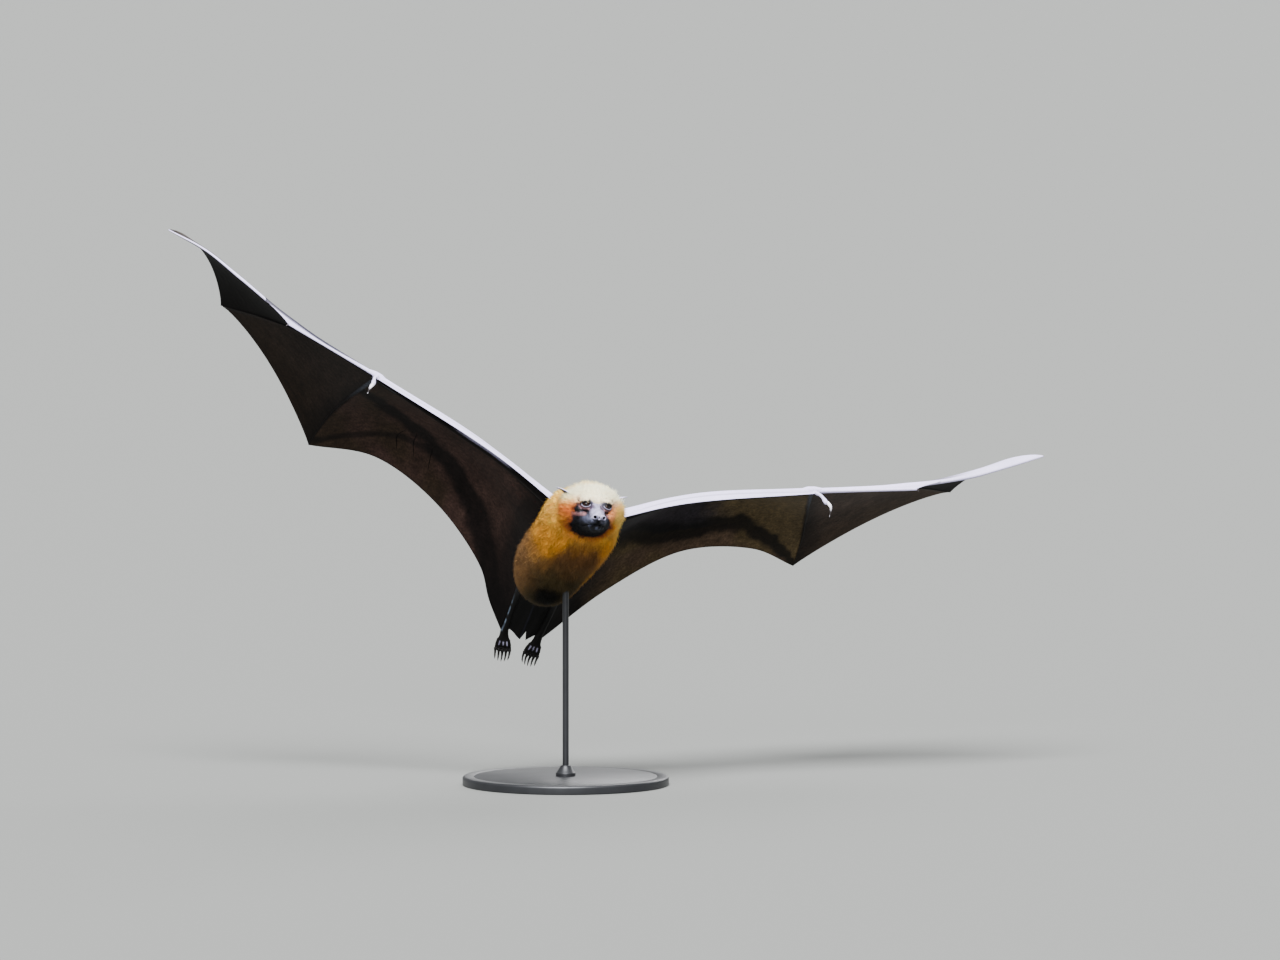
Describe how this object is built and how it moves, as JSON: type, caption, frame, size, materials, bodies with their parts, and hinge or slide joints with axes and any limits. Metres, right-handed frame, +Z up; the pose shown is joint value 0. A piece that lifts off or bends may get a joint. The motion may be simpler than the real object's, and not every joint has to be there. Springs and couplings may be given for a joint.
{
  "type": "flying fox on display stand",
  "caption": "Life-size flying fox gliding on spread, cambered wings, with golden mantle and dark fox-like muzzle, held over a round base by a thin rod.",
  "frame": {"origin": "middle of the underside of the stand's base", "axes": "+Z up; the bat flies towards -Y, turned slightly towards +X, and its left wing reaches to +X"},
  "size_m": [0.9762, 0.3987, 0.6088],
  "materials": {
    "fur": "soft fur, cream on the crown, golden orange on the mantle and olive brown on the belly",
    "ear_skin": "thin dark bare skin",
    "arm_skin": "smooth lavender grey skin with a soft sheen",
    "wing_skin": "thin dark brown membrane, finely wrinkled",
    "leg_skin": "black wrinkled skin",
    "claw": "dark horn",
    "eye": "wet, clear and very dark brown",
    "stand_metal": "dark grey satin paint"
  },
  "bodies": {
    "root": {"head": "fur", "neck": "fur", "trunk": "fur", "ear_left": "ear_skin", "ear_right": "ear_skin", "upper_arm_left": "arm_skin", "upper_arm_right": "arm_skin", "forearm_left": "arm_skin", "forearm_right": "arm_skin", "thumb_left": "arm_skin", "thumb_right": "arm_skin", "finger_2_left": "arm_skin", "finger_2_right": "arm_skin", "finger_3_left": "arm_skin", "finger_3_right": "arm_skin", "finger_4_left": "arm_skin", "finger_4_right": "arm_skin", "finger_5_left": "arm_skin", "finger_5_right": "arm_skin", "front_membrane_left": "wing_skin", "front_membrane_right": "wing_skin", "arm_membrane_left": "wing_skin", "arm_membrane_right": "wing_skin", "membrane_2_3_left": "wing_skin", "membrane_2_3_right": "wing_skin", "membrane_3_4_left": "wing_skin", "membrane_3_4_right": "wing_skin", "membrane_4_5_left": "wing_skin", "membrane_4_5_right": "wing_skin", "tail_membrane": "wing_skin", "leg_left": "leg_skin", "leg_right": "leg_skin", "foot_left": "leg_skin", "foot_right": "leg_skin", "thumb_claw_left": "claw", "thumb_claw_right": "claw", "eye_left": "eye", "eye_right": "eye", "stand_base": "stand_metal", "stand_rod": "stand_metal"}
  },
  "joints": []
}
